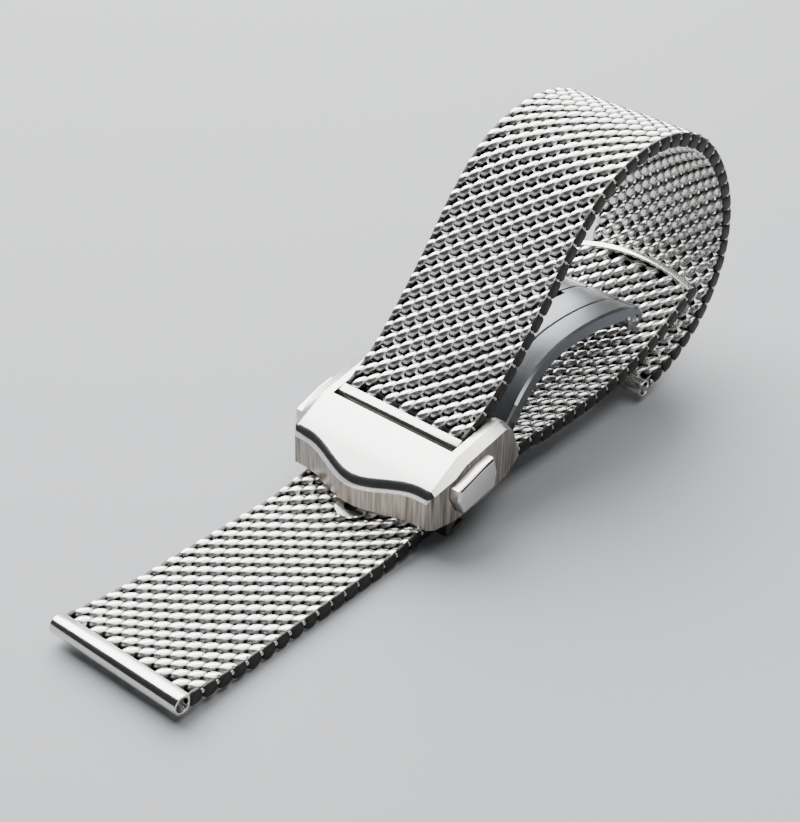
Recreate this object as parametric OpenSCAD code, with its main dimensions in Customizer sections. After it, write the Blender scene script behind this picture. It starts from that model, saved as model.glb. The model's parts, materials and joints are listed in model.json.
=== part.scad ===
// Woven steel watch bracelet, two mesh straps joined by a folding clasp with two push buttons.
// The origin is the middle of the long strap's lug tube. X runs along the strap towards the clasp,
// Y across the strap and Z up.

/* [Mesh straps] */
// Thickness of the woven mesh
strap_t = 2.2; // [2.0:0.05:2.4]
// Width of both straps at their lug ends
lug_w = 20; // [19:0.25:21]
// Width of both straps inside the clasp
clasp_w = 18.7; // [18.3:0.1:19.1]
// Length of one bending piece of the short strap
short_seg = 7.2; // [7.15:0.01:7.25]
// Length of one bending piece of the long strap's front
front_seg = 6.62; // [6.5:0.02:6.8]
// Length of the long strap that the clasp holds straight
held_len = 24; // [23.6:0.1:24.2]
// Length of the long strap from its front bend to the tail end's corners
behind_len = 63.6; // [63:0.1:63.9]
// How far the rounded tail end bulges past its corners
tail_bulge = 1.8; // [1.2:0.1:2.4]
// Width of the polished rim round the tail end
rim_w = 1; // [0.7:0.1:1.3]
// Depth of the valleys between two rows of coils
valley_d = 0.3; // [0.2:0.05:0.45]
// Distance between two valleys
valley_step = 2.3; // [2:0.1:2.6]

/* [End tubes and spring bar] */
// Outer radius of the tube at a strap end
tube_r = 1.2; // [1.15:0.05:1.35]
// Bore radius of the tube at a strap end
tube_bore_r = 0.9; // [0.85:0.02:0.95]
// Radius of the spring bar's tube
bar_r = 0.82; // [0.76:0.01:0.84]
// Bore radius of the spring bar's tube
bar_bore_r = 0.52; // [0.48:0.01:0.6]
// Radius of the spring bar's tips
bar_tip_r = 0.44; // [0.36:0.01:0.46]
// How far a tip reaches into the clasp arm
bar_tip_reach = 0.8; // [0.5:0.1:1.2]

/* [Eyelets] */
// Outer radius of an eyelet's flange
eyelet_r = 2.1; // [1.8:0.05:2.3]
// Hole radius of an eyelet
eyelet_hole_r = 1; // [0.95:0.05:1.1]
// Wall of an eyelet's shank
eyelet_wall = 0.45; // [0.3:0.05:0.6]
// Thickness of an eyelet's flange
eyelet_flange = 0.22; // [0.15:0.01:0.26]
// Distance from the front bend to the first eyelet
eyelet_first = 4.8; // [4.4:0.1:5.2]
// Distance between two eyelets
eyelet_step = 6; // [5.8:0.1:6.2]
// Radius of the peg that sits in an eyelet
peg_r = 0.85; // [0.7:0.05:0.9]

/* [Blades] */
// Width of the fork blade
blade_w = 14.4; // [13.6:0.1:15]
// Thickness of both blades
blade_t = 1.9; // [1.6:0.05:2]
// Right side of the slot in the fork blade
slot_right = -4.1; // [-4.6:0.1:-3.6]
// Left side of the slot in the fork blade
slot_left = 1.1; // [0.9:0.1:1.8]
// Width of the gap left beside the inner blade's shank
shank_gap = 0.9; // [0.5:0.1:1.2]
// Radius of the knuckles at the far hinge
knuckle_r = 1.6; // [1.5:0.05:1.7]
// Radius of the fork blade's barrel at the cover hinge
barrel_r = 1.4; // [1.2:0.05:1.5]
// Radius of both hinge pins
pin_r = 0.6; // [0.5:0.02:0.7]
// Thickness of the inner blade's foot that lies on the strap
foot_t = 0.9; // [0.7:0.05:1]

/* [Strap keeper] */
// Thickness of a keeper cheek
cheek_t = 0.8; // [0.6:0.05:0.85]
// Thickness of the keeper bar under the strap
keeper_bar_t = 0.5; // [0.4:0.05:0.6]
// Length of the keeper along the strap
keeper_len = 4.8; // [4.4:0.1:4.9]

/* [Cover] */
// Gap between the short strap and each arm of the cover
arm_gap = 0.15; // [0.1:0.05:0.3]
// Thickness of an arm
arm_t = 2.4; // [2.2:0.05:2.6]
// Wall of the cover's top and front
cover_wall = 1; // [0.8:0.05:1.2]
// Drop of the bevel along the cover's sides
cover_bevel = 0.55; // [0.3:0.05:0.8]
// How far the nose stands out in front of the cover's corners
nose_depth = 2.1; // [1.6:0.1:2.4]

/* [Buttons] */
// Travel of a push button
button_travel = 0.6; // [0.4:0.05:0.6]
// How far a button stands out of its arm
button_out = 1.35; // [1:0.05:1.5]
// Thickness of a button's claw
claw_t = 0.5; // [0.4:0.05:0.55]
// Wire radius of a button spring
button_wire_r = 0.1; // [0.08:0.01:0.11]

/* [Hidden] */
$fn = 48;

// Headings of the mesh pieces, in degrees above the X axis: the short strap's from the clasp to
// its lug end, and the long strap's from its lug end to the clasp and on from the clasp to its tail
SHORT_HEADINGS = [32, 44, 48, 50, 40, 18, -3, -26, -49, -69, -92, -118, -143, -165];
FRONT_HEADINGS = [-7, -3, 0, 0, 0];
TAIL_HEADINGS = [-1, 0, 3, 12, 21, 28];
// Slope of the length that the clasp holds
held_rise = 9;

// Longer than the whole clasp is high or long, and how far joined shapes reach into each other
far = 60;
join = 0.1;

// Clearances
mesh_gap = 0.15;
seat_gap = 0.05;
fit_gap = 0.05;
press_gap = 0.01;
side_gap = 0.12;
slide_gap = 0.1;

// Places in the clasp are counted along X from the bend where the long strap starts to rise,
// and up from the top of the flat strap
spring_bar_at = [13.2, 8.7];
cover_hinge_at = [18.1, 6.2];
blade_hinge_at = [51.5, 9.2];

// The fork blade's upper line: a straight rise, a tight bend, a long bend and a last flat facet
blade_foot_at = [24.7, 5.4];
blade_rise = 52;
blade_rise_len = 3;
blade_bend_r = 14;
blade_crest = 4;
blade_run_r = 38;
blade_fall = -15;
blade_facet = -26;
blade_facet_len = 3.6;
shank_end_x = 45.7;
// Where the fork blade's underside meets its barrel, counted back from the foot of its rise
fork_heel = [2, 1.1];
slot_lead = 0.7;

// The cover's front: where the nose starts, half the width of its brace shape, the drop of its
// lip below the front edge, the inner lip that the wall leaves, and its cut corners
nose_x = 3.6;
brace_half = 9;
nose_drop = 1.1;
lip_extra = 0.3;
cover_corner_y = 10.5;
corner_cut = 0.7;
cover_low = 1.75;
cover_rear_r = 2.9;
cover_rear_at = [18, 8];
cover_rear_x = 21.2;
cap_rear_x = 11.5;
// The cover's upper line in front of its arms, and the lower line of its sides
COVER_RISE = [[5.6, 6.4], [7.5, 7.5], [11.1, 9.5]];
COVER_UNDER = [[21.3, 5.2], [19.1, 3.45], [14.6, 2.3], [9.7, 2.1], [6.9, cover_low]];

keeper_x = 9.8;
keeper_top = 5.5;
keeper_side = [keeper_x + keeper_len, 2.3];
keeper_bar_len = 3;
keeper_room = 0.6;
foot_lead = 0.3;

button_x = 9.3;
// Side view of a button's cap, and the bevel round its outer face
BUTTON_SIDE = [[0.2, 3.4], [6, 4.4], [6.3, 6.6], [5.6, 8.65], [3.2, 8.25], [-0.7, 7], [-0.8, 5.6]];
button_edge = 0.25;
stem_x = 12.8;
stem_half = 0.9;
stem_low = 5.85;
stem_high = 6.65;
claw_low = 4.4;
cap_t = 2;
seat_reach = 0.8;
spring_seat_y = 5.6;
seat_wall = 0.6;

// Metal left over the cover hinge pin's ends, and how far the other pin's ends lie below the knuckles
pin_cover = 0.5;
pin_inset = 0.2;
// The spring bar: room at its tube's ends, length of a tip, and its spring's wire
bar_end_room = 0.9;
bar_tip_len = 5.3;
bar_wire_r = 0.08;

arm_in = clasp_w / 2 + arm_gap;
arm_out = arm_in + arm_t;
cheek_in = arm_in + slide_gap;
cheek_out = cheek_in + cheek_t;
cheek_room = cheek_out + slide_gap;
button_back = max(cheek_room + button_travel, arm_out + button_out - cap_t);

front_n = len(FRONT_HEADINGS);
short_n = len(SHORT_HEADINGS);
tail_n = len(TAIL_HEADINGS);
FRONT_AT = chain([0, 0], FRONT_HEADINGS, front_seg);
bend_at = FRONT_AT[front_n];
ground_z = bend_at[1] - strap_t / 2;
SHORT_AT = chain(above(spring_bar_at), SHORT_HEADINGS, short_seg);
tail_seg = (behind_len - held_len) / tail_n;
TAIL_AT = chain(step(bend_at, held_rise, held_len), TAIL_HEADINGS, tail_seg);

// A place in the clasp as X and Z from the origin
function above(p) = bend_at + p + [0, strap_t / 2];
function step(p, heading, len) = p + len * [cos(heading), sin(heading)];
// The places of all hinges along a strap, each one piece after the last
function chain(start, headings, len, n = 0) =
    n == len(headings) ? [start]
    : concat([start], chain(step(start, headings[n], len), headings, len, n + 1));
function mix(a, b, share) = a + (b - a) * share;
function smooth_step(t) = t <= 0 ? 0 : t >= 1 ? 1 : t * t * (3 - 2 * t);
// Heights of the held strap's middle and faces, counted like the other places in the clasp
function held_mid(x) = x * tan(held_rise) - strap_t / 2;
function held_top(x) = held_mid(x) + strap_t / 2 / cos(held_rise);
function held_bottom(x) = held_mid(x) - strap_t / 2 / cos(held_rise);
// Points on a bend that turns right from one heading to another
function bend(p, r, from, to, inset, n) =
    [for (i = [0:n]) let (a = mix(from, to, i / n))
        p + r * [sin(from) - sin(a), cos(a) - cos(from)] + inset * [sin(a), -cos(a)]];
function bend_end(p, r, from, to) = p + r * [sin(from) - sin(to), cos(to) - cos(from)];

module at_bend() { translate([bend_at[0], 0, ground_z]) children(); }

module side(width) {
    rotate([90, 0, 0]) linear_extrude(width, center = true) children();
}

module at_side(p, heading = 0) {
    translate([p[0], 0, p[1]]) rotate([0, -heading, 0]) children();
}

module cross_rod(p, r, width) {
    at_side(p) rotate([90, 0, 0]) cylinder(r = r, h = width, center = true);
}

// Side view of a mesh piece that starts at the origin and runs along X
module mesh_side(len, round_start, start_r, end_r) {
    valleys = floor((len - valley_step) / valley_step + 0.5);
    half = strap_t / 2;
    difference() {
        union() {
            translate([0, -half]) square([len, strap_t]);
            if (round_start) circle(r = half);
        }
        for (i = [0:valleys], face = [-1, 1])
            translate([valley_step * (i + 0.75), face * half])
                polygon([[-valley_d, face * valley_d], [valley_d, face * valley_d], [0, -face * valley_d]]);
        if (start_r > 0) circle(r = start_r);
        if (end_r > 0) translate([len, 0]) circle(r = end_r);
    }
}

module clasp_polygon(points) {
    polygon([for (p = points) above(p)]);
}

module mesh_piece(p, heading, len, width, round_start = true, start_r = 0, end_r = 0) {
    color("silver") at_side(p, heading) side(width) mesh_side(len, round_start, start_r, end_r);
}

hinge_cut_r = strap_t / 2 + mesh_gap;
tube_cut_r = tube_r + seat_gap;

// The short strap's pieces widen from the clasp to the lug end
module short_mesh(i) {
    first = i == 0;
    last = i == short_n - 1;
    mesh_piece(SHORT_AT[i], SHORT_HEADINGS[i], short_seg, mix(clasp_w, lug_w, (i + 0.5) / short_n),
        round_start = !first, start_r = first ? tube_cut_r : 0, end_r = last ? tube_cut_r : hinge_cut_r);
}

// Each front piece starts at its hinge on the clasp's side and runs back to the lug end
module front_mesh(i) {
    mesh_piece(FRONT_AT[i + 1], FRONT_HEADINGS[i] + 180, front_seg,
        mix(lug_w, clasp_w, (i + 0.5) / front_n), end_r = i == 0 ? tube_cut_r : hinge_cut_r);
}

tip_r = (pow(clasp_w / 2, 2) + pow(tail_bulge, 2)) / (2 * tail_bulge);
module tail_mesh(i) {
    last = i == tail_n - 1;
    intersection() {
        mesh_piece(TAIL_AT[i], TAIL_HEADINGS[i], tail_seg + (last ? tail_bulge : 0), clasp_w,
            end_r = last ? 0 : hinge_cut_r);
        if (last) at_tip() cylinder(r = tip_r - rim_w - seat_gap, h = 2 * strap_t, center = true, $fn = 96);
        else at_side(TAIL_AT[i]) cube(4 * clasp_w, center = true);
    }
}

// The centre of the arc round the outside of the tail end's rim
module at_tip() {
    at_side(TAIL_AT[tail_n - 1], TAIL_HEADINGS[tail_n - 1])
        translate([tail_seg + tail_bulge - tip_r, 0, 0]) children();
}

module long_strap_tip_rim() {
    color("gainsboro") intersection() {
        at_tip() difference() {
            cylinder(r = tip_r, h = strap_t, center = true, $fn = 96);
            cylinder(r = tip_r - rim_w, h = 2 * strap_t, center = true, $fn = 96);
        }
        at_side(TAIL_AT[tail_n - 1], TAIL_HEADINGS[tail_n - 1])
            translate([tail_seg - 2 * rim_w, -clasp_w / 2, -strap_t])
                cube([4 * rim_w + tail_bulge, clasp_w, 2 * strap_t]);
    }
}

module end_tube(p, width) {
    color("gainsboro") difference() {
        cross_rod(p, tube_r, width);
        cross_rod(p, tube_bore_r, width + 1);
    }
}
module short_strap_clasp_tube() { end_tube(SHORT_AT[0], clasp_w); }
module short_strap_lug_tube() { end_tube(SHORT_AT[short_n], lug_w); }
module long_strap_lug_tube() { end_tube(FRONT_AT[0], lug_w); }

EYELETS = [for (i = [0:2]) eyelet_first + i * eyelet_step];
shank_r = eyelet_hole_r + eyelet_wall;

module at_eyelet(s) { at_side(bend_at, held_rise) translate([s, 0, 0]) children(); }

module long_strap_held_mesh() {
    color("silver") difference() {
        mesh_piece(bend_at, held_rise, held_len, clasp_w, round_start = false,
            start_r = hinge_cut_r, end_r = hinge_cut_r);
        for (s = EYELETS) at_eyelet(s)
            cylinder(r = shank_r + press_gap, h = 2 * strap_t, center = true);
    }
}

module strap_eyelets() {
    color("gainsboro") for (s = EYELETS) at_eyelet(s) difference() {
        union() {
            cylinder(r = shank_r, h = strap_t + eyelet_flange, center = true);
            for (face = [-1, 1]) translate([0, 0, face * (strap_t + eyelet_flange + press_gap) / 2])
                cylinder(r = eyelet_r, h = eyelet_flange, center = true);
        }
        cylinder(r = eyelet_hole_r, h = 2 * strap_t, center = true);
    }
}

// The keeper: a bar under the strap with a cheek up each side of it
flange_room = eyelet_flange + 2 * fit_gap;
module strap_keeper() {
    bar_low = held_bottom(keeper_x) - flange_room - keeper_bar_t;
    bar_front = [keeper_x, bar_low];
    bar_rear = bar_front + keeper_bar_len * [1, tan(held_rise)];
    lift = [0, keeper_bar_t];
    color("lightgray") difference() {
        union() {
            for (turn = [-1, 1]) translate([0, turn * (cheek_in + cheek_out) / 2, 0]) side(cheek_t)
                clasp_polygon([bar_front, keeper_side, [keeper_side[0], keeper_top],
                    [keeper_x, keeper_top]]);
            side(2 * cheek_out) clasp_polygon([bar_front, bar_rear, bar_rear + lift, bar_front + lift]);
        }
        at_eyelet(EYELETS[1]) cylinder(r = peg_r + press_gap, h = 3 * strap_t, center = true);
    }
}

foot_low = strap_t / 2 + flange_room;
held_end_x = held_len * cos(held_rise);
module strap_peg() {
    color("gainsboro") at_eyelet(EYELETS[1]) translate([0, 0, -foot_low - keeper_bar_t])
        cylinder(r = peg_r, h = 2 * foot_low + keeper_bar_t + foot_t);
}

// Side view of a blade, between its upper line and the same line moved in by its thickness
rise_end = step(blade_foot_at, blade_rise, blade_rise_len);
crest_at = bend_end(rise_end, blade_bend_r, blade_rise, blade_crest);
fall_at = bend_end(crest_at, blade_run_r, blade_crest, blade_fall);
function blade_line(inset) = concat(
    [blade_foot_at + inset * [sin(blade_rise), -cos(blade_rise)]],
    bend(rise_end, blade_bend_r, blade_rise, blade_crest, inset, 12),
    bend(crest_at, blade_run_r, blade_crest, blade_fall, inset, 8));
module blade_side() {
    upper = concat(blade_line(0), [step(fall_at, blade_facet, blade_facet_len)]);
    lower = blade_line(blade_t);
    clasp_polygon(concat(upper, [for (i = [len(lower) - 1:-1:0]) lower[i]]));
    translate(above(blade_hinge_at)) circle(r = knuckle_r);
}

module fork_side() {
    blade_side();
    barrel_top = cover_hinge_at + [0, barrel_r];
    clasp_polygon([barrel_top, blade_foot_at, blade_line(blade_t)[0], blade_foot_at - fork_heel,
        cover_hinge_at - [0, barrel_r]]);
}

slot_start_x = cover_hinge_at[0] + barrel_r + slot_lead;
module fork_blade() {
    color("lightgray") difference() {
        union() {
            side(blade_w) fork_side();
            cross_rod(above(cover_hinge_at), barrel_r, 2 * (arm_in - side_gap));
        }
        translate([above([slot_start_x, 0])[0], slot_right, 0])
            cube([blade_hinge_at[0], slot_left - slot_right, far]);
        cross_rod(above(cover_hinge_at), pin_r + fit_gap, 2 * arm_in);
        cross_rod(above(blade_hinge_at), pin_r + press_gap, blade_w + 1);
    }
}

// The inner blade lies in the fork blade's slot, and its foot lies on the strap
foot_reach = 2.2;
foot_front_x = keeper_x - foot_lead;
foot_wide_x = keeper_side[0] + foot_lead;
function foot_low_at(x) = [x, held_top(min(x, held_end_x)) + flange_room / cos(held_rise)];
module foot_side(from, to) {
    turns = to > held_end_x ? [from, held_end_x, to] : [from, to];
    low = [for (x = turns) foot_low_at(x)];
    clasp_polygon(concat(low, [for (i = [len(low) - 1:-1:0]) low[i] + [0, foot_t]]));
}
// The part of a side view between two places along the clasp
module side_between(from, to) {
    intersection() {
        children();
        translate([above([from, 0])[0], ground_z]) square([to - from, far]);
    }
}

module inner_blade() {
    right = slot_right + side_gap;
    left = slot_left - side_gap;
    shank_left = slot_left - shank_gap;
    color("lightgray") difference() {
        union() {
            translate([0, (right + shank_left) / 2, 0]) side(shank_left - right) {
                side_between(blade_foot_at[0] - 1, shank_end_x) blade_side();
                foot_side(foot_wide_x, blade_foot_at[0] + foot_reach);
            }
            translate([0, (right + left) / 2, 0]) side(left - right)
                side_between(shank_end_x, far) blade_side();
            side(2 * cheek_in - 2 * press_gap) foot_side(foot_front_x, foot_wide_x);
        }
        cross_rod(above(blade_hinge_at), pin_r + fit_gap, blade_w);
        at_eyelet(EYELETS[1]) cylinder(r = peg_r + press_gap, h = 4 * strap_t, center = true);
    }
}

module blade_hinge_pin() {
    color("gainsboro") cross_rod(above(blade_hinge_at), pin_r, blade_w - 2 * pin_inset);
}

// Side view of the cover, with its upper line lowered by the bevel where it is wanted
module cover_side(drop) {
    rear = [for (a = [80, 60, 40, 20, 0]) cover_rear_at + (cover_rear_r - drop) * [cos(a), sin(a)]];
    rise = [for (p = COVER_RISE) p - [0, drop]];
    front = [[nose_x, cover_low], [nose_x, COVER_RISE[0][1] - drop - nose_drop]];
    clasp_polygon(concat(front, rise, rear, COVER_UNDER));
}

// Plan of the cover with its brace-shaped front, moved back by a wall
module cover_plan(inset) {
    half = [for (i = [0:12]) let (y = cover_corner_y * i / 12)
        [nose_x + inset + nose_depth * smooth_step(y / brace_half), y]];
    corner = [[nose_x + inset + nose_depth + corner_cut, cover_corner_y + corner_cut],
        [button_x, arm_out], [cover_rear_x + cover_rear_r, arm_out]];
    right = concat(half, corner);
    polygon(concat(right, [for (i = [len(right) - 1:-1:1]) [right[i][0], -right[i][1]]]));
}

module cover_block() {
    intersection() {
        hull() {
            side(2 * cover_corner_y) cover_side(0);
            side(2 * arm_out) cover_side(cover_bevel);
        }
        at_bend() linear_extrude(far) cover_plan(0);
    }
}

// Room inside the cover for the strap, the keeper's cheeks, the hinge barrel and the strap tube
module cover_room() {
    rear_x = cover_rear_x + cover_rear_r;
    boss_low = cover_hinge_at[1] - barrel_r - 2 * slide_gap;
    cheek_high = keeper_top + 2 * side_gap;
    pocket_front_x = keeper_x - keeper_room;
    pocket_rear_x = foot_wide_x + keeper_room;
    intersection() {
        side(2 * arm_in) clasp_polygon(concat(
            [[0, -strap_t], [0, COVER_RISE[0][1] - cover_wall - nose_drop - lip_extra]],
            [for (q = COVER_RISE) q + [lip_extra, -cover_wall]],
            [[cap_rear_x, far], [rear_x, far], [rear_x, -strap_t]]));
        at_bend() linear_extrude(2 * far) cover_plan(cover_wall);
    }
    side(2 * cheek_room) clasp_polygon([[pocket_front_x, -strap_t], [pocket_front_x, cheek_high],
        [pocket_rear_x, cheek_high], [pocket_rear_x, boss_low],
        [rear_x, boss_low], [rear_x, -strap_t]]);
}

module button_side(grow) {
    offset(delta = grow) clasp_polygon([for (p = BUTTON_SIDE) [button_x, 0] + p]);
}

module stem_box(from, to, grow) {
    low = above([0, stem_low - grow])[1];
    high = above([0, stem_high + grow])[1];
    translate([above([stem_x - stem_half - grow, 0])[0], from, low])
        cube([2 * (stem_half + grow), to - from, high - low]);
}

// Ribs under the cover's top that the button springs push against
seat_front_x = COVER_RISE[1][0] + 2.2;
seat_rear_x = stem_x + seat_reach;
module spring_seats() {
    seat_low = stem_low - 3 * slide_gap;
    seat_high = stem_high + 2 * slide_gap;
    top = COVER_RISE[2][1] - cover_wall / 2;
    intersection() {
        for (turn = [-1, 1]) translate([0, turn * (spring_seat_y - seat_wall / 2), 0]) side(seat_wall)
            clasp_polygon([[seat_front_x, seat_low], [seat_rear_x, seat_low], [seat_rear_x, seat_high],
                [cap_rear_x, seat_high + 2 * slide_gap], [cap_rear_x, top], [seat_front_x, top - 1]]);
        cover_block();
    }
}

module clasp_cover() {
    color("gainsboro") difference() {
        union() {
            difference() {
                cover_block();
                cover_room();
            }
            spring_seats();
        }
        for (turn = [-1, 1]) {
            translate([0, turn * (arm_out + cheek_room) / 2, 0]) side(arm_out - cheek_room + 1)
                button_side(slide_gap);
            mirror([0, turn < 0 ? 1 : 0, 0]) stem_box(arm_in - 1, arm_out + 1, slide_gap);
        }
        cross_rod(above(cover_hinge_at), pin_r + press_gap, 2 * (arm_out - pin_cover));
        cross_rod(above(spring_bar_at), bar_tip_r + fit_gap, 2 * (tip_outer_y + slide_gap));
    }
}

module cover_hinge_pin() {
    color("gainsboro") cross_rod(above(cover_hinge_at), pin_r, 2 * (arm_out - pin_cover) - slide_gap);
}

// A push button: cap in the arm with a bevelled outer face, stem over the cheek, claw behind it
module push_button() {
    claw_y = arm_in - claw_t;
    button_face = arm_out + button_out;
    color("gainsboro") {
        hull() {
            translate([0, (button_back + button_face - button_edge) / 2, 0])
                side(button_face - button_edge - button_back) button_side(0);
            translate([0, button_face - button_edge, 0]) side(2 * button_edge) button_side(-button_edge);
        }
        stem_box(claw_y, button_back + join, 0);
        translate([above([stem_x - stem_half, 0])[0], claw_y, above([0, claw_low])[1]])
            cube([2 * stem_half, claw_t, stem_low - claw_low + join]);
    }
}
module push_button_left() { push_button(); }
module push_button_right() { mirror([0, 1, 0]) push_button(); }

module spring_bar_tube() {
    half = arm_in - bar_end_room;
    color("lightgray") difference() {
        cross_rod(above(spring_bar_at), bar_r, 2 * half);
        cross_rod(above(spring_bar_at), bar_bore_r, 2 * half + 1);
    }
}

tip_outer_y = arm_in + bar_tip_reach;
tip_inner_y = tip_outer_y - bar_tip_len;
module spring_bar_tips() {
    color("gainsboro") for (turn = [-1, 1])
        translate([0, turn * (tip_inner_y + tip_outer_y) / 2, 0])
            cross_rod(above(spring_bar_at), bar_tip_r, bar_tip_len);
}

// A helical wire along Z, from one end face to the other, as one unbroken tube
rings_a_turn = 8;
wire_sides = 6;
function coil_point(r, pitch, k) = [r * cos(360 * k / rings_a_turn), r * sin(360 * k / rings_a_turn),
    pitch * k / rings_a_turn];
function wire_ring(r, pitch, wire, k) =
    let (a = 360 * k / rings_a_turn, out = [cos(a), sin(a), 0], c = coil_point(r, pitch, k))
    [for (j = [0:wire_sides - 1]) let (b = 360 * j / wire_sides)
        c + wire * cos(b) * out + wire * sin(b) * [0, 0, 1]];
module coil_spring(r, wire, len, turns) {
    pitch = (len - 2 * wire) / turns;
    rings = turns * rings_a_turn;
    points = [for (k = [0:rings]) each wire_ring(r, pitch, wire, k)];
    walls = [for (k = [0:rings - 1], j = [0:wire_sides - 1]) let (
        a = k * wire_sides + j,
        b = k * wire_sides + (j + 1) % wire_sides) each [[a, b, a + wire_sides],
            [b, b + wire_sides, a + wire_sides]]];
    caps = concat([for (j = [1:wire_sides - 2]) [0, j + 1, j]],
        [for (j = [1:wire_sides - 2]) let (z = rings * wire_sides) [z, z + j, z + j + 1]]);
    echo("least gap between the spring's turns", pitch - 2 * wire);
    translate([0, 0, wire]) polyhedron(points, concat(walls, caps));
}

module spring_bar_spring() {
    half = tip_inner_y - seat_gap;
    color("gray") at_side(above(spring_bar_at)) rotate([90, 0, 0]) translate([0, 0, -half])
        coil_spring(bar_bore_r - bar_wire_r - fit_gap, bar_wire_r, 2 * half, 10);
}

module button_spring() {
    from = spring_seat_y + seat_gap;
    to = arm_in - claw_t - seat_gap;
    mid = (stem_low + stem_high) / 2;
    color("gray") translate([above([stem_x, 0])[0], from, above([0, mid])[1]]) rotate([-90, 0, 0])
        coil_spring(stem_high - mid - button_wire_r, button_wire_r, to - from, 5);
}
module button_spring_left() { button_spring(); }
module button_spring_right() { mirror([0, 1, 0]) button_spring(); }

inner_blade();
strap_keeper();
strap_peg();
strap_eyelets();
long_strap_held_mesh();
fork_blade();
blade_hinge_pin();
clasp_cover();
cover_hinge_pin();
spring_bar_tube();
spring_bar_tips();
spring_bar_spring();
button_spring_left();
button_spring_right();
push_button_left();
push_button_right();
short_strap_clasp_tube();
short_strap_lug_tube();
short_mesh(0);  // short_strap_mesh_01
short_mesh(1);  // short_strap_mesh_02
short_mesh(2);  // short_strap_mesh_03
short_mesh(3);  // short_strap_mesh_04
short_mesh(4);  // short_strap_mesh_05
short_mesh(5);  // short_strap_mesh_06
short_mesh(6);  // short_strap_mesh_07
short_mesh(7);  // short_strap_mesh_08
short_mesh(8);  // short_strap_mesh_09
short_mesh(9);  // short_strap_mesh_10
short_mesh(10);  // short_strap_mesh_11
short_mesh(11);  // short_strap_mesh_12
short_mesh(12);  // short_strap_mesh_13
short_mesh(13);  // short_strap_mesh_14
front_mesh(0);  // long_strap_front_mesh_01
front_mesh(1);  // long_strap_front_mesh_02
front_mesh(2);  // long_strap_front_mesh_03
front_mesh(3);  // long_strap_front_mesh_04
front_mesh(4);  // long_strap_front_mesh_05
long_strap_lug_tube();
tail_mesh(0);  // long_strap_tail_mesh_01
tail_mesh(1);  // long_strap_tail_mesh_02
tail_mesh(2);  // long_strap_tail_mesh_03
tail_mesh(3);  // long_strap_tail_mesh_04
tail_mesh(4);  // long_strap_tail_mesh_05
tail_mesh(5);  // long_strap_tail_mesh_06
long_strap_tip_rim();
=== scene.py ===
"""Metal mesh watch bracelet: woven straps and the finish of the folding clasp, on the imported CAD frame."""

import json
import math
from bisect import bisect_right

import bmesh
import bpy
from mathutils import Matrix, Vector


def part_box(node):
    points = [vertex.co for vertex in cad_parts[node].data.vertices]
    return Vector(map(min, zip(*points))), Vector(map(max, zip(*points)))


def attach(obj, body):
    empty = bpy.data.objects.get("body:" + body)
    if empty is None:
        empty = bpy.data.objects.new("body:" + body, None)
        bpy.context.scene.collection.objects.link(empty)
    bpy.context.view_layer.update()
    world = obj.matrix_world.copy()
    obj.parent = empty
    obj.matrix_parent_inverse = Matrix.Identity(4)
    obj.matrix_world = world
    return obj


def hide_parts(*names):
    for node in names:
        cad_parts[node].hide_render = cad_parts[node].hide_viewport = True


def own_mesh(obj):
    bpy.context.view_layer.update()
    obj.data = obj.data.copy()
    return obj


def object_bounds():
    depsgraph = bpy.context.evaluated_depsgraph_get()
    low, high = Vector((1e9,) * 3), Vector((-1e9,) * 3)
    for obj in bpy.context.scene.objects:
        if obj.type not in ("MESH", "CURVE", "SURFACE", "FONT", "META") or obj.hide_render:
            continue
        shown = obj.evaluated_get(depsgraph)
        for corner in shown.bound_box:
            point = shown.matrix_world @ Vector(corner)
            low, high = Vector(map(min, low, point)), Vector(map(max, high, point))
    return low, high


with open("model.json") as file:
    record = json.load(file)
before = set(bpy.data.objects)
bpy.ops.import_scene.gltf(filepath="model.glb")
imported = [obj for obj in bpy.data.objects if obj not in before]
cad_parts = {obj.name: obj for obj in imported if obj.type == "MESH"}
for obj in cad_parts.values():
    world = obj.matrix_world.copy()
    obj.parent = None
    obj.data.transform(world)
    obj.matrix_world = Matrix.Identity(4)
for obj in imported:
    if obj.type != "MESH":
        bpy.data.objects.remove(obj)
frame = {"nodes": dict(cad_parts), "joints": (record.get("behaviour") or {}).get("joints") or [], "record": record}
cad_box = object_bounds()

MM = 0.001

# Woven mesh, in millimetres
STRAP_T = 2.2  # over the rolled wires
COIL_STEP = 1.15  # from coil to coil along the strap
COIL_HALF = 1.16  # half of a coil's reach along the strap, so each coil lies in its neighbours
COIL_TURNS = 10  # more than the widest part needs, as each coil is cut to the width
TURN_STEP = 2.6  # from turn to turn across the strap
TOP_ADVANCE = 0.42  # how much of a turn's step the wire makes on a face
CORNER_ADVANCE = 0.26  # and round a corner
CORNER_R = 0.74  # bend of the wire round a coil's corners
WIRE_W = 1.29  # the wire after rolling
WIRE_T = 0.72
ROLLED = 0.1  # crown of the wire that the rollers press flat
DARK_DEPTH = 0.75  # below the strap's faces, where the painted shade is darkest and the wire roughest
BLOCK_W = 0.6  # closed block at a coil's end, on the strap's edge
BLOCK_GAP = 0.06  # from block to block
BLOCK_SINK = 0.18  # of a block below the strap's faces
BLOCK_RIM = 0.2  # rounding of a block's two end faces
CUT_INSET = 0.2  # of a coil's cut wires from the strap's edge
WIRE_END_R = 0.36  # bead where a wire ends between two blocks
WIRE_END_INSET = 0.3
WIRE_END_RISE = 0.3

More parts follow.
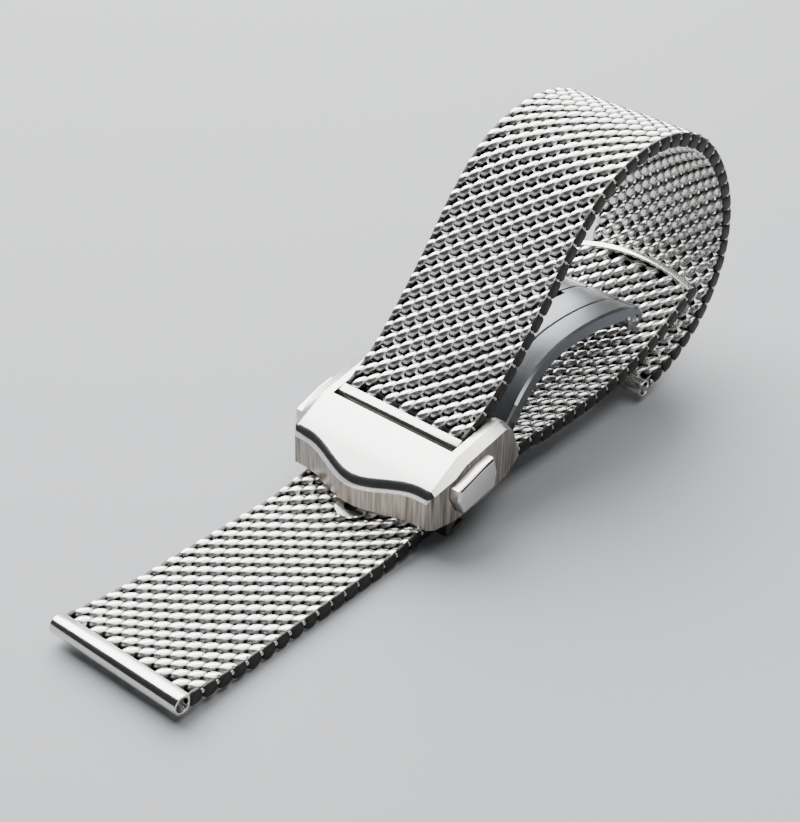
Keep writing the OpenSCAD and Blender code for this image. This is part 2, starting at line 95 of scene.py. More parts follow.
# Straps, in millimetres
LUG_W = 20
CLASP_W = 18.7
FIRST_COIL = 1.95  # from a tube's middle to the first coil
TIP_INSET = 0.6  # from the last coil to the end of the tail's straight part
TAIL_BULGE = 1.8  # how far the tail's end curves out
TAIL_END = math.radians(28)  # upward slope of the tail's end
SHORT_LUG_L = 12  # length at the lug end where the edge blocks are rounder
SHORT_LUG_ROUND = 0.8
SHORT_BLOCK_ROUND = 0.55
LONG_LUG_L = 22
LONG_LUG_ROUND = 0.85
LONG_BLOCK_ROUND = 0.4
EYELET_STEP = 6  # from eyelet to eyelet
EYELET_CLEAR = 1.5  # radius that the wires leave free

# Tubes and rim, in millimetres
TUBE_R = 1.2
BORE_R = 0.9
TUBE_FLAT = 0.8  # length of the flat behind the round front
TUBE_BRUSHED_X = 0.25  # the flat's upper face is brushed from here back
TUBE_BACK = 1.1  # from the middle to the rear end
TUBE_REAR_H = 0.94  # height of the rear, as a share of the front's
TUBE_RIM = 0.07  # polished edge at each end
SHORT_TUBE_R = 1.12  # clears the tail when the blades open
SHORT_TUBE_FLAT = 0.3
RIM_W = 1
RIM_PROUD = 0.1  # height over the mesh, both faces together
RIM_ROUND = 0.22

# Clasp, in millimetres
LIP_ROUND = 1  # rounding of the cover's front lip
LIP_ROOF_AREA = 50  # square millimetres; only the cover's top is larger
INSIDE_FROM_X = 42  # the inside of the cover, matt and painted dark as shade
INSIDE_HALF_W = 9.6
INSIDE_TOP_Z = 9.3
FORK_BARREL = 4  # from the cover's hinge to where the fork's chamfers start
FORK_CHAMFER = 0.3
BLADE_CHAMFER = 0.1
BLADE_NARROWING = 0.96  # share of its width that leaves a clear gap in the fork
BUTTON_BEVEL = 0.16
BUTTON_FACE_Y = 12  # what lies further out is the button's visible end

JOINTS = {joint["name"]: joint for joint in frame["joints"]}
MOUNTS = {mount["name"]: mount for mount in frame["record"]["mounts"]}
SLOTS = {part["node"]: part["material_slot"] for part in frame["record"]["subparts"]}


def side_point(place):
    """A place of the frame as X and Z in millimetres."""
    return Vector((place[0] / MM, place[2] / MM))


def hinge_place(name):
    return side_point(JOINTS[name]["pos_m"])


# Paths of the straps

class StrapPath:
    """A smooth line through a strap's hinges, measured along its length."""

    SAMPLES = 24

    def __init__(self, places):
        before = places[0] * 2 - places[1]
        after = places[-1] * 2 - places[-2]
        ring = [before, *places, after]
        self.points, self.spans = [], []
        for k in range(len(places) - 1):
            for i in range(self.SAMPLES):
                self.points.append(catmull_rom(ring[k:k + 4], i / self.SAMPLES))
                self.spans.append(k)
        self.points.append(places[-1])
        self.spans.append(len(places) - 2)
        lowest = min(place.y for place in places)
        for point in self.points:
            point.y = max(point.y, lowest)
        self.lengths = [0.0]
        for a, b in zip(self.points, self.points[1:]):
            self.lengths.append(self.lengths[-1] + (b - a).length)

    @property
    def length(self):
        return self.lengths[-1]

    def at(self, along):
        """Place, heading and span number at a length along the path."""
        i = min(max(bisect_right(self.lengths, along) - 1, 0), len(self.points) - 2)
        a, b = self.points[i], self.points[i + 1]
        share = (along - self.lengths[i]) / (self.lengths[i + 1] - self.lengths[i])
        wide = self.points[min(i + 3, len(self.points) - 1)] - self.points[max(i - 2, 0)]
        return a.lerp(b, share), math.atan2(wide.y, wide.x), self.spans[i]

    def starts(self):
        """Length along the path at the start of each span."""
        return [self.lengths[k * self.SAMPLES] for k in range(self.spans[-1] + 1)]


def catmull_rom(p, t):
    """A point of the smooth curve through four places, a share t of the way from the second to the third."""
    a = 2 * p[1]
    b = p[2] - p[0]
    c = 2 * p[0] - 5 * p[1] + 4 * p[2] - p[3]
    d = 3 * p[1] - p[0] - 3 * p[2] + p[3]
    return (a + b * t + c * t * t + d * t * t * t) / 2


# Woven mesh

def wire_ring(bm):
    """The outline of the wire where it comes up to the top of a coil."""
    half_w, top = WIRE_W / 2, STRAP_T / 2
    outline = [(0, 0), (-0.6, 0.08), (-1, 0.34), (0, WIRE_T), (1, 0.34), (0.6, 0.08)]
    verts = [bm.verts.new((-(COIL_HALF - CORNER_R), half_w * y, top - deep)) for y, deep in outline]
    return [bm.edges.new((a, b)) for a, b in zip(verts, verts[1:] + verts[:1])]


def edges_in(geom):
    return [item for item in geom if isinstance(item, bmesh.types.BMEdge)]


def run_wire(bm, ring, by):
    """Extrudes the wire's end ring straight by a vector."""
    geom = bmesh.ops.extrude_edge_only(bm, edges=ring)["geom"]
    verts = [item for item in geom if isinstance(item, bmesh.types.BMVert)]
    bmesh.ops.translate(bm, verts=verts, vec=by)
    return [edge for edge in edges_in(geom) if all(v in verts for v in edge.verts)]


def turn_wire(bm, ring, centre, advance):
    """Turns the wire's end ring round a corner of the coil."""
    spun = bmesh.ops.spin(bm, geom=ring, cent=centre, axis=(0, 1, 0), dvec=(0, advance / 2, 0),
        angle=math.pi / 2, steps=2)
    return edges_in(spun["geom_last"])


def build_coil(turns):
    """One coil of the weave, wound about Y with its middle at the origin, and rolled flat."""
    bm = bmesh.new()
    ring = wire_ring(bm)
    straight = COIL_HALF - CORNER_R
    rise = STRAP_T / 2 - CORNER_R
    side_advance = TURN_STEP / 2 - TOP_ADVANCE - 2 * CORNER_ADVANCE
    for _ in range(turns):
        for side in (1, -1):
            ring = run_wire(bm, ring, (side * straight, -TOP_ADVANCE / 2, side * ROLLED))
            ring = run_wire(bm, ring, (side * straight, -TOP_ADVANCE / 2, -side * ROLLED))
            ring = turn_wire(bm, ring, (side * straight, 0, side * rise), -CORNER_ADVANCE)
            ring = run_wire(bm, ring, (0, -side_advance, -side * 2 * rise))
            ring = turn_wire(bm, ring, (side * straight, 0, -side * rise), -CORNER_ADVANCE)
    close_ends(bm)
    bmesh.ops.translate(bm, verts=bm.verts, vec=(0, turns * TURN_STEP / 2 + TOP_ADVANCE / 2, 0))
    roll_flat(bm)
    bmesh.ops.recalc_face_normals(bm, faces=bm.faces)
    # painted shade: the wire's colour darkens the deeper it lies below the strap's faces
    mark_depth(bm, 0, 1)
    return bm


def roll_flat(bm):
    """Presses what stands above the strap's two faces level with them."""
    for vert in bm.verts:
        vert.co.z = min(max(vert.co.z, -STRAP_T / 2), STRAP_T / 2)


def mark_depth(bm, low, high):
    """Stores how deep each point lies below the strap's faces, from low there to high, for the painted shade and
    the roughness of the wire.
    """
    layer = bm.verts.layers.float.new("shade_depth")
    for vert in bm.verts:
        vert[layer] = low + (high - low) * min((STRAP_T / 2 - abs(vert.co.z)) / DARK_DEPTH, 1)


def close_ends(bm):
    bmesh.ops.holes_fill(bm, edges=[edge for edge in bm.edges if edge.is_boundary], sides=0)


def build_edge_block(rounding):
    """The last loop of a coil at the strap's edge, closed and pressed to a rounded block."""
    bm = bmesh.new()
    bmesh.ops.create_cube(bm, size=1)
    size = (2 * COIL_STEP - BLOCK_GAP, BLOCK_W, STRAP_T - 2 * BLOCK_SINK)
    bmesh.ops.scale(bm, verts=bm.verts, vec=size)
    across = [e for e in bm.edges if abs(e.verts[0].co.y - e.verts[1].co.y) > 0.1]
    bmesh.ops.bevel(bm, geom=across, offset=rounding, segments=3, profile=0.5, affect="EDGES", material=-1)
    rims = [e for e in bm.edges if abs(e.verts[0].co.y - e.verts[1].co.y) < 0.01]
    bmesh.ops.bevel(bm, geom=rims, offset=BLOCK_RIM, segments=2, profile=0.5, affect="EDGES",
        material=-1)
    # the edge blocks take the darkest painted shade, standing in for the shade on the strap's edges
    mark_depth(bm, 0.95, 1)
    return bm


def build_wire_end():
    """The rounded end of a wire that shows between two blocks."""
    bm = bmesh.new()
    bmesh.ops.create_uvsphere(bm, u_segments=8, v_segments=6, radius=WIRE_END_R)
    # the wire ends take only light painted shade, whatever their depth
    mark_depth(bm, 0.2, 0.3)
    return bm


def add_part(bm, part, matrix):
    """Adds a copy of a part to a bmesh, moved by a matrix."""
    joined = bpy.data.meshes.new("joined")
    part.to_mesh(joined)
    joined.transform(matrix)
    bm.from_mesh(joined)
    bpy.data.meshes.remove(joined)


def place_on_path(place, heading):
    """Turns and moves a shape from the origin to a place on a strap, and from millimetres to metres."""
    return (Matrix.Scale(MM, 4) @ Matrix.Translation((place.x, 0, place.y))
        @ Matrix.Rotation(-heading, 4, "Y"))


def cut_coil(coil, half_width, odd):
    """A copy of the coil cut to the strap's width; every second one is moved by half a turn."""
    part = coil.copy()
    if odd:
        bmesh.ops.translate(part, verts=part.verts, vec=(0, TURN_STEP / 2, 0))
    for side in (1, -1):
        geom = [*part.verts, *part.edges, *part.faces]
        bmesh.ops.bisect_plane(part, geom=geom, plane_co=(0, side * half_width, 0),
            plane_no=(0, side, 0), clear_outer=True, dist=1e-5)
    close_ends(part)
    return part


def add_coil(bm, parts, matrix, half_width, odd):
    """Adds one coil, with a block at each edge on every second coil and a wire end on the others."""
    coil, block, wire_end = parts
    part = cut_coil(coil, half_width - CUT_INSET, odd)
    add_part(bm, part, matrix)
    part.free()
    for side in (1, -1):
        if odd:
            edge = Matrix.Translation((0, side * (half_width - WIRE_END_INSET), WIRE_END_RISE))
            add_part(bm, wire_end, matrix @ edge)
        else:
            edge = Matrix.Translation((0, side * (half_width - BLOCK_W / 2), 0))
            add_part(bm, block, matrix @ edge)


def clear_eyelets(bm):
    """Cuts the wires away where the eyelets go through."""
    near = [v for v in bm.verts if any(math.hypot(v.co.x - x, v.co.y) < EYELET_CLEAR * MM for x in EYELETS)]
    bmesh.ops.delete(bm, geom=near, context="VERTS")
    lone = [face for face in bm.faces if all(edge.is_boundary for edge in face.edges)]
    bmesh.ops.delete(bm, geom=lone, context="FACES")
    close_ends(bm)


def finish_mesh(bm, name, smooth_angle=180, crisp=None):
    """Makes a piece from a bmesh; edges past an angle, and those that crisp names, stay sharp."""
    for edge in bm.edges:
        bent = edge.is_manifold and edge.calc_face_angle(0) > math.radians(smooth_angle)
        edge.smooth = not (bent or (crisp and crisp(edge)))
    for face in bm.faces:
        face.smooth = True
    mesh = bpy.data.meshes.new(name)
    bm.to_mesh(mesh)
    bm.free()
    piece = bpy.data.objects.new(name, mesh)
    bpy.context.scene.collection.objects.link(piece)
    return piece


def weave_strap(path, first, last, width_at, node_of, body_of, rounding_at):
    """Coils all along a strap, gathered into one piece for each CAD node."""
    count = round((last - first) / COIL_STEP)
    step = (last - first) / count
    coil = build_coil(COIL_TURNS)
    wire_end = build_wire_end()
    blocks = {}
    groups = {}
    for k in range(count + 1):
        along = first + k * step
        place, heading, span = path.at(along)
        rounding = rounding_at(along)
        if rounding not in blocks:
            blocks[rounding] = build_edge_block(rounding)
        if span not in groups:
            groups[span] = bmesh.new()
        half_width = width_at(along) / 2
        if half_width > 1:
            parts = (coil, blocks[rounding], wire_end)
            add_coil(groups[span], parts, place_on_path(place, heading), half_width, k % 2)
    for span, bm in groups.items():
        node = node_of(span)
        if node == "long_strap_held_mesh":
            clear_eyelets(bm)
        dress(finish_mesh(bm, "woven_" + node, 50), node, body_of(span), woven_steel)


def dress(piece, node, body, *finishes):
    """Puts a finished piece in the place of a CAD node."""
    for finish in finishes:
        piece.data.materials.append(finish)
    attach(piece, body)
    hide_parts(node)


# Tubes, rim and clasp

def build_tube(place, heading, width, radius=TUBE_R, flat=TUBE_FLAT):
    """A tube rolled from strip: round in front, with a flat that runs back over the mesh."""
    bm = bmesh.new()
    outer = bmesh.ops.create_circle(bm, segments=40, radius=radius)["verts"]
    rear = [v for v in outer if v.co.x > 0.01]
    bmesh.ops.scale(bm, verts=rear, vec=((TUBE_BACK - flat) / radius, TUBE_REAR_H, 1))
    bmesh.ops.translate(bm, verts=rear, vec=(flat, 0, 0))
    bmesh.ops.create_circle(bm, segments=40, radius=BORE_R)
    bmesh.ops.bridge_loops(bm, edges=bm.edges)
    grown = bmesh.ops.extrude_face_region(bm, geom=bm.faces, use_keep_orig=True)["geom"]
    moved = [item for item in grown if isinstance(item, bmesh.types.BMVert)]
    bmesh.ops.translate(bm, verts=moved, vec=(0, 0, width))
    bmesh.ops.translate(bm, verts=bm.verts, vec=(0, 0, -width / 2))
    bmesh.ops.recalc_face_normals(bm, faces=bm.faces)
    rims = [e for e in bm.edges if e.calc_face_angle(0) > math.radians(60)]
    bmesh.ops.bevel(bm, geom=rims, offset=TUBE_RIM, segments=2, profile=0.5, affect="EDGES", material=-1)
    for face in bm.faces:
        if face.normal.y > 0.9 and face.calc_center_median().x > TUBE_BRUSHED_X:
            face.material_index = 1
    bmesh.ops.rotate(bm, verts=bm.verts, matrix=Matrix.Rotation(math.pi / 2, 3, "X"))
    bmesh.ops.transform(bm, verts=bm.verts, matrix=place_on_path(place, heading))
    return bm


def build_tip_rim(place, heading):
    """The rim round the tail's end, bent from flat bar to a shallow arc."""
    radius = (CLASP_W ** 2 / 4 + TAIL_BULGE ** 2) / (2 * TAIL_BULGE)
    half_turn = math.asin(CLASP_W / 2 / radius)
    bm = bmesh.new()
    bmesh.ops.create_grid(bm, x_segments=1, y_segments=1, size=0.5)
    bmesh.ops.scale(bm, verts=bm.verts, vec=(RIM_W, STRAP_T + RIM_PROUD, 1))
    bmesh.ops.bevel(bm, geom=bm.verts[:], offset=RIM_ROUND, segments=3, profile=0.5, affect="VERTICES",
        material=-1)
    bmesh.ops.rotate(bm, verts=bm.verts, matrix=Matrix.Rotation(math.pi / 2, 3, "X"))
    bmesh.ops.translate(bm, verts=bm.verts, vec=(radius - RIM_W / 2, 0, 0))
    bmesh.ops.rotate(bm, verts=bm.verts, matrix=Matrix.Rotation(-half_turn, 3, "Z"))
    bmesh.ops.spin(bm, geom=[*bm.verts, *bm.edges, *bm.faces], cent=(0, 0, 0), axis=(0, 0, 1),
        angle=2 * half_turn, steps=36)
    close_ends(bm)
    bmesh.ops.recalc_face_normals(bm, faces=bm.faces)
    bmesh.ops.translate(bm, verts=bm.verts, vec=(TAIL_BULGE - radius, 0, 0))
    bmesh.ops.transform(bm, verts=bm.verts, matrix=place_on_path(place, heading))
    return bm


def merged_copy(node):
    """A copy of a CAD node with its triangles joined to whole faces."""
    bm = bmesh.new()
    bm.from_mesh(frame["nodes"][node].data)
    bmesh.ops.remove_doubles(bm, verts=bm.verts, dist=0.001 * MM)
    bmesh.ops.dissolve_limit(bm, angle_limit=math.radians(0.5), verts=bm.verts, edges=bm.edges)
    return bm


def break_edges(bm, chosen, width, segments=2, clamp=True):
    """Breaks the chosen edges with a polished bevel."""
    done = bmesh.ops.bevel(bm, geom=chosen, offset=width * MM, segments=segments, profile=0.5,
        affect="EDGES", material=-1, clamp_overlap=clamp)
    for face in done["faces"]:
        face.material_index = 1


def sharp_edges(bm, angle=35):
    return [e for e in bm.edges if len(e.link_faces) == 2 and e.calc_face_angle(0) > math.radians(angle)]


def push_buttons():
    for side in ("left", "right"):
        node = "push_button_" + side
        bm = merged_copy(node)
        outer = [e for e in sharp_edges(bm, 20) if all(abs(v.co.y) > BUTTON_FACE_Y * MM for v in e.verts)]
        break_edges(bm, outer, BUTTON_BEVEL)
        dress(finish_mesh(bm, "finished_" + node, 25), node, "button_" + side, brushed_steel, polished_steel)


def button_springs():
    """The springs behind the buttons, carried by the cover; in the real clasp they shorten as the buttons go in.
    """
    for side, away in (("left", 1), ("right", -1)):
        node = "button_spring_" + side
        piece = finish_mesh(merged_copy(node), "coiled_" + node, 60)
        dress(piece, node, "cover", spring_wire)
        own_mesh(piece)


def clasp_cover():
    """The cover: a round polished lip along its brace-shaped front, upright brushed walls painted darker than the
    top as shade, a matt inside painted dark as shade.
    """
    bm = merged_copy("clasp_cover")
    lip = [e for e in sharp_edges(bm) if is_front_lip(e)]
    break_edges(bm, lip, LIP_ROUND, 6, clamp=False)
    for face in bm.faces:
        if is_inside(face.calc_center_median()):
            # the inside takes the matt steel painted dark as shade
            face.material_index = 3
        elif abs(face.normal.z) < 0.1 and face.material_index == 0:
            # upright walls take the wall steel, painted darker than the top as shade
            face.material_index = 2
    piece = finish_mesh(bm, "finished_cover", 30, is_side_bevel)
    dress(piece, "clasp_cover", "cover", brushed_steel, polished_steel, wall_brushed_shaded_steel, blasted_shaded_steel)


def is_inside(place):
    """True for a place between the cover's arms and under its top."""
    between = place.x > INSIDE_FROM_X * MM and abs(place.y) < INSIDE_HALF_W * MM
    return between and place.z < INSIDE_TOP_Z * MM


def is_side_bevel(edge):
    """True along the line where the cover's top bends down to its bevelled sides."""
    slopes = [face.normal for face in edge.link_faces]
    return min(n.z for n in slopes) > 0.5 and abs(abs(slopes[0].y) - abs(slopes[-1].y)) > 0.2


def is_front_lip(edge):
    """True between the cover's top and its front wall."""
    wall, top = sorted(edge.link_faces, key=lambda face: face.normal.z)
    is_roof = top.normal.z > 0.5 and top.calc_area() > LIP_ROOF_AREA * MM * MM
    return is_roof and wall.normal.z < 0.2 and wall.normal.x < -0.4


def clasp_blades():
    """The fork, bright chamfers on its outer edges, and the inner blade with a clear gap beside it; the blades'
    other faces are painted darker than the chamfers as shade.
    """
    fork = merged_copy("fork_blade")
    past_barrel = JOINTS["cover_hinge"]["pos_m"][0] + FORK_BARREL * MM
    rails = [e for e in top_borders(fork) if wall_faces_out(e) and e.verts[0].co.x > past_barrel]
    break_edges(fork, rails, FORK_CHAMFER, 1, clamp=False)
    blade = merged_copy("inner_blade")
    middle = sum(v.co.y for v in blade.verts) / len(blade.verts)
    bmesh.ops.translate(blade, verts=blade.verts, vec=(0, -middle, 0))
    bmesh.ops.scale(blade, verts=blade.verts, vec=(1, BLADE_NARROWING, 1))
    bmesh.ops.translate(blade, verts=blade.verts, vec=(0, middle, 0))
    break_edges(blade, top_borders(blade), BLADE_CHAMFER, 1, clamp=False)
    for bm, node, body in ((fork, "fork_blade", "fork"), (blade, "inner_blade", "base")):
        dress(finish_mesh(bm, "finished_" + node, 16), node, body, shaded_blade_steel, brushed_steel)


def wall_faces_out(edge):
    """True where the side wall at an edge looks away from the strap's middle."""
    wall = max(edge.link_faces, key=lambda face: abs(face.normal.y))
    return wall.normal.y * edge.verts[0].co.y > 0


def top_borders(bm):
    """Edges between an upper face and an upright side wall."""
    borders = []
    for edge in sharp_edges(bm):
        slopes = [face.normal for face in edge.link_faces]
        if max(abs(n.y) for n in slopes) > 0.95 and max(n.z for n in slopes) > 0.3:
            borders.append(edge)
    return borders


# Materials

def srgb(code):
    """A hex colour as linear RGBA."""
    channels = [int(code[i:i + 2], 16) / 255 for i in (0, 2, 4)]
    linear = [c / 12.92 if c <= 0.04045 else ((c + 0.055) / 1.055) ** 2.4 for c in channels]
    return (*linear, 1)


def add_node(tree, kind, settings=None, **inputs):
    """Adds a node; inputs are values, or sockets to link from."""
    node = tree.nodes.new(kind)
    for key, value in (settings or {}).items():
        setattr(node, key, value)
    for key, value in inputs.items():
        socket = node.inputs[key.replace("_", " ")]
        if isinstance(value, bpy.types.NodeSocket):
            tree.links.new(value, socket)
        else:
            socket.default_value = value
    return node


def metal(name, colour, roughness):
    material = bpy.data.materials.new(name)
    material.use_nodes = True
    shader = material.node_tree.nodes["Principled BSDF"]
    shader.inputs["Base Color"].default_value = srgb(colour)
    shader.inputs["Metallic"].default_value = 1
    shader.inputs["Roughness"].default_value = roughness
    return material, material.node_tree, shader


def grain_of(tree, scale, detail=2, stretch=None):
    """Noise on the object's own coordinates, in marks for each metre; stretched, it makes streaks."""
    place = add_node(tree, "ShaderNodeTexCoord").outputs["Object"]
    if stretch:
        place = add_node(tree, "ShaderNodeMapping", Vector=place, Scale=stretch).outputs["Vector"]
    return add_node(tree, "ShaderNodeTexNoise", Vector=place, Scale=scale, Detail=detail).outputs["Fac"]


def roughen(tree, shader, grain, low, high):
    """Lets the grain vary the roughness between two values."""
    level = add_node(tree, "ShaderNodeMapRange", Value=grain, To_Min=low, To_Max=high)
    tree.links.new(level.outputs["Result"], shader.inputs["Roughness"])


def score(tree, shader, grain, strength, deep):
    """Lets the grain stand in the surface, so deep in metres."""
    bump = add_node(tree, "ShaderNodeBump", Height=grain, Strength=strength, Distance=deep)
    tree.links.new(bump.outputs["Normal"], shader.inputs["Normal"])


def make_woven_steel():
    """Stainless steel wire, rolled flat by the rollers; its colour is painted shade, bright on the strap's faces
    and dark between the wires, where it is also rougher.
    """
    material, tree, shader = metal("rolled_stainless_wire_painted_shade", "D3D2CF", 0.24)
    shade_depth = add_node(tree, "ShaderNodeAttribute", {"attribute_name": "shade_depth"}).outputs["Fac"]
    shade = add_node(tree, "ShaderNodeValToRGB", Fac=shade_depth)
    steps = shade.color_ramp.elements
    # painted shade: bright on the strap's faces, darkening down between the wires
    steps[0].position, steps[0].color = 0.16, srgb("E9E8E5")
    steps[1].position, steps[1].color = 1, srgb("2E2C29")
    for position, colour in ((0.5, "A3A09D"), (0.85, "6B6864")):
        steps.new(position).color = srgb(colour)
    tree.links.new(shade.outputs["Color"], shader.inputs["Base Color"])
    gloss = add_node(tree, "ShaderNodeMapRange", Value=grain_of(tree, 2500), To_Min=0.17, To_Max=0.3)
    dull = add_node(tree, "ShaderNodeMath", {"operation": "MULTIPLY_ADD"})
    tree.links.new(shade_depth, dull.inputs[0])
    dull.inputs[1].default_value = 0.25
    tree.links.new(gloss.outputs["Result"], dull.inputs[2])
    tree.links.new(dull.outputs["Value"], shader.inputs["Roughness"])
    return material


def make_brushed_steel(name, colour):
    """Stainless steel, brushed along the strap: satin, with fine streaks along X."""
    material, tree, shader = metal(name, colour, 0.3)
    grain = grain_of(tree, 1, 3, stretch=(150, 6000, 150))
    roughen(tree, shader, grain, 0.22, 0.4)
    score(tree, shader, grain, 0.25, 0.00002)
    return material


def make_wall_brushed_shaded_steel():
    """Stainless steel, brushed up and down on a wall: satin, with coarser upright streaks, in a darker, browner
    tone than the top's as painted shade.
    """
    material, tree, shader = metal("upright_brushed_steel_painted_shade", "B9B2AA", 0.32)
    grain = grain_of(tree, 1, 3, stretch=(2600, 2600, 120))
    # the streaks vary the tone; both ends of the ramp are darker than the top's steel, as painted shade
    tone = add_node(tree, "ShaderNodeValToRGB", Fac=grain)
    ends = tone.color_ramp.elements
    ends[0].position, ends[0].color = 0.35, srgb("6F6861")
    ends[1].position, ends[1].color = 0.65, srgb("A8A199")
    tree.links.new(tone.outputs["Color"], shader.inputs["Base Color"])
    roughen(tree, shader, grain, 0.26, 0.42)
    score(tree, shader, grain, 0.4, 0.00003)
    return material


def make_blasted_shaded_steel():
    """Stainless steel, bead blasted inside the clasp: matt, never polished, and painted dark as shade."""
    material, tree, shader = metal("bead_blasted_steel_painted_dark", "5A5956", 0.6)
    score(tree, shader, grain_of(tree, 8000), 0.3, 0.00001)
    return material


def make_polished_steel():
    """Stainless steel, polished: mirror bright with a trace of haze."""
    material, tree, shader = metal("polished_stainless_steel", "DAD9D6", 0.09)
    roughen(tree, shader, grain_of(tree, 900), 0.12, 0.2)
    return material


def make_spring_wire():
    """Drawn spring steel: darker, even."""
    material, tree, shader = metal("drawn_spring_wire", "8A8A8C", 0.35)
    roughen(tree, shader, grain_of(tree, 4000), 0.3, 0.42)
    return material


woven_steel = make_woven_steel()
brushed_steel = make_brushed_steel("brushed_stainless_steel", "CFCDC9")
# the blades' steel is painted darker than the clasp's brushed steel, as shade
shaded_blade_steel = make_brushed_steel("brushed_blade_steel_painted_shade", "6A6D70")
wall_brushed_shaded_steel = make_wall_brushed_shaded_steel()
blasted_shaded_steel = make_blasted_shaded_steel()
polished_steel = make_polished_steel()
spring_wire = make_spring_wire()
FINISHES = {"woven_mesh": woven_steel, "brushed_clasp": brushed_steel,
    "polished_fittings": polished_steel, "spring_wire": spring_wire}


# Straps

def short_strap():
    places = [hinge_place(f"short_{k:02d}_bend") for k in range(1, 15)]
    places.append(side_point(MOUNTS["short_strap_lug_bore"]["pos_m"]))
    path = StrapPath(places)
    weave_strap(path, FIRST_COIL, path.length - FIRST_COIL,
        lambda along: CLASP_W + (LUG_W - CLASP_W) * along / path.length,
        lambda span: f"short_strap_mesh_{span + 1:02d}",
        lambda span: f"short_{span + 1:02d}",
        lambda along: SHORT_BLOCK_ROUND if along < path.length - SHORT_LUG_L else SHORT_LUG_ROUND)
    tube = build_tube(places[0], path.at(0)[1], CLASP_W)
    piece = finish_mesh(tube, "rolled_clasp_tube", 35)
    dress(piece, "short_strap_clasp_tube", "short_01", polished_steel, brushed_steel)
    back = path.at(path.length)[1] + math.pi
    tube = build_tube(places[-1], back, LUG_W, SHORT_TUBE_R, SHORT_TUBE_FLAT)
    piece = finish_mesh(tube, "rolled_short_lug_tube", 35)
    dress(piece, "short_strap_lug_tube", "short_14", polished_steel, brushed_steel)


def long_strap():
    places = [Vector((0, 0))]
    places += [hinge_place(f"front_{k:02d}_bend") for k in range(1, 6)]
    places += [hinge_place(f"tail_{k:02d}_bend") for k in range(1, 7)]
    last = places[-1] + (places[-1] - places[-2]).length * heading_vector(TAIL_END)
    path = StrapPath([*places, last])
    names = [*(f"front_{k:02d}" for k in range(1, 6)), "base", *(f"tail_{k:02d}" for k in range(1, 7))]
    nodes = [*(f"long_strap_front_mesh_{k:02d}" for k in range(1, 6)), "long_strap_held_mesh",
        *(f"long_strap_tail_mesh_{k:02d}" for k in range(1, 7))]
    bend = path.starts()[5]

    def width_at(along):
        past = max(along - path.length, 0) / TAIL_BULGE
        return (LUG_W - (LUG_W - CLASP_W) * min(along / bend, 1)) * math.sqrt(max(1 - past, 0))

    weave_strap(path, FIRST_COIL, path.length - TIP_INSET, width_at,
        lambda span: nodes[span],
        lambda span: names[span],
        lambda along: LONG_LUG_ROUND if along < LONG_LUG_L else LONG_BLOCK_ROUND)
    tube = build_tube(places[0], path.at(0)[1], LUG_W)
    piece = finish_mesh(tube, "rolled_long_lug_tube", 35)
    dress(piece, "long_strap_lug_tube", "front_01", polished_steel, brushed_steel)
    rim = build_tip_rim(last, TAIL_END)
    dress(finish_mesh(rim, "bent_tip_rim", 35), "long_strap_tip_rim", "tail_06", polished_steel)


def heading_vector(heading):
    return Vector((math.cos(heading), math.sin(heading)))


EYELETS = [sum(corner[0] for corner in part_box("strap_peg")) / 2 + k * EYELET_STEP * MM for k in (-1, 0, 1)]

short_strap()
long_strap()
push_buttons()
button_springs()
clasp_cover()
clasp_blades()

for node, slot in SLOTS.items():
    frame["nodes"][node].data.materials.clear()
    # the keeper also takes the matt steel painted dark as shade
    finish = blasted_shaded_steel if node == "strap_keeper" else FINISHES[slot]
    frame["nodes"][node].data.materials.append(finish)


# Studio

LENS_PX = 2000
IMAGE_H = 822
CAMERA_AIM = Vector((53.48, 6.34, 3.76)) * MM
CAMERA_AZIMUTH = math.radians(-49.56)
CAMERA_ELEVATION = math.radians(33.62)
CAMERA_ROLL = math.radians(1.21)
CAMERA_DISTANCE = 251.5 * MM

FLOOR_HALF = 1.5
FLOOR_MIDDLE_X = 0.05
FLOOR_GAP = 0.02 * MM

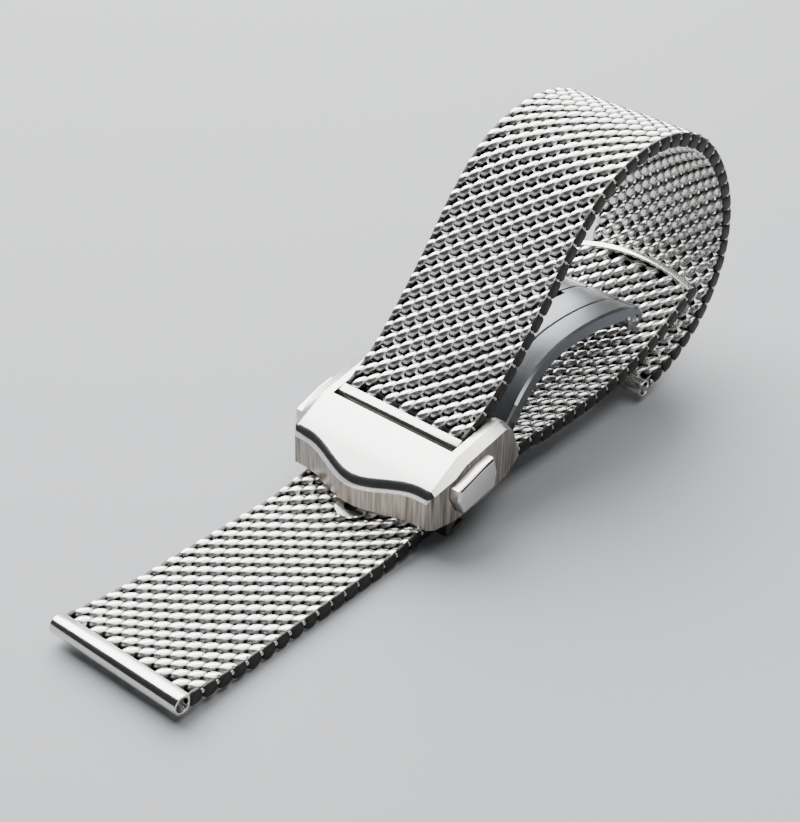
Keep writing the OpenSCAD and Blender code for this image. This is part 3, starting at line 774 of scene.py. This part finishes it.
# For each softbox, in metres and watts: its place, what it faces, its size and its power
SOFTBOXES = {
    "softbox_over": ((0.385, 0.373, 0.5), (0.305, -0.047, 0), (1.1, 0.8), 31),
    "softbox_top": ((0.225, -0.2, 0.75), (0.225, -0.2, 0), (0.95, 0.4), 5.2),
    "softbox_front": ((-0.24, -0.585, 0.25), (0.06, 0, 0), (0.5, 0.25), 0.7),
}


def make_camera():
    back = Vector((math.sin(CAMERA_AZIMUTH) * math.cos(CAMERA_ELEVATION),
        -math.cos(CAMERA_AZIMUTH) * math.cos(CAMERA_ELEVATION), math.sin(CAMERA_ELEVATION)))
    data = bpy.data.cameras.new("camera")
    data.lens = LENS_PX * 36 / IMAGE_H
    data.sensor_width = 36
    data.clip_start = 0.001
    camera = bpy.data.objects.new("camera", data)
    camera.location = CAMERA_AIM + back * CAMERA_DISTANCE
    level = back.to_track_quat("Z", "Y").to_matrix()
    camera.rotation_euler = (level @ Matrix.Rotation(CAMERA_ROLL, 3, "Z")).to_euler()
    bpy.context.scene.collection.objects.link(camera)
    bpy.context.scene.camera = camera


def make_floor():
    bm = bmesh.new()
    bmesh.ops.create_grid(bm, x_segments=1, y_segments=1, size=FLOOR_HALF)
    bmesh.ops.translate(bm, verts=bm.verts, vec=(FLOOR_MIDDLE_X, 0, cad_box[0][2] - FLOOR_GAP))
    floor = finish_mesh(bm, "studio_floor")
    material = bpy.data.materials.new("pale_paper")
    material.use_nodes = True
    shader = material.node_tree.nodes["Principled BSDF"]
    shader.inputs["Base Color"].default_value = srgb("8C8E91")
    shader.inputs["Roughness"].default_value = 0.6
    floor.data.materials.append(material)


def add_light(name, place, aim, size, power):
    data = bpy.data.lights.new(name, "AREA")
    data.shape = "RECTANGLE"
    data.size, data.size_y = size
    data.energy = power
    light = bpy.data.objects.new(name, data)
    light.location = place
    light.rotation_euler = (Vector(place) - Vector(aim)).to_track_quat("Z", "Y").to_euler()
    bpy.context.scene.collection.objects.link(light)


def make_lights():
    for name, (place, aim, size, power) in SOFTBOXES.items():
        add_light(name, place, aim, size, power)
    world = bpy.data.worlds.new("studio")
    bpy.context.scene.world = world
    world.use_nodes = True
    world.node_tree.nodes["Background"].inputs["Color"].default_value = srgb("A9ADB3")
    world.node_tree.nodes["Background"].inputs["Strength"].default_value = 0.1


make_camera()
make_floor()
make_lights()

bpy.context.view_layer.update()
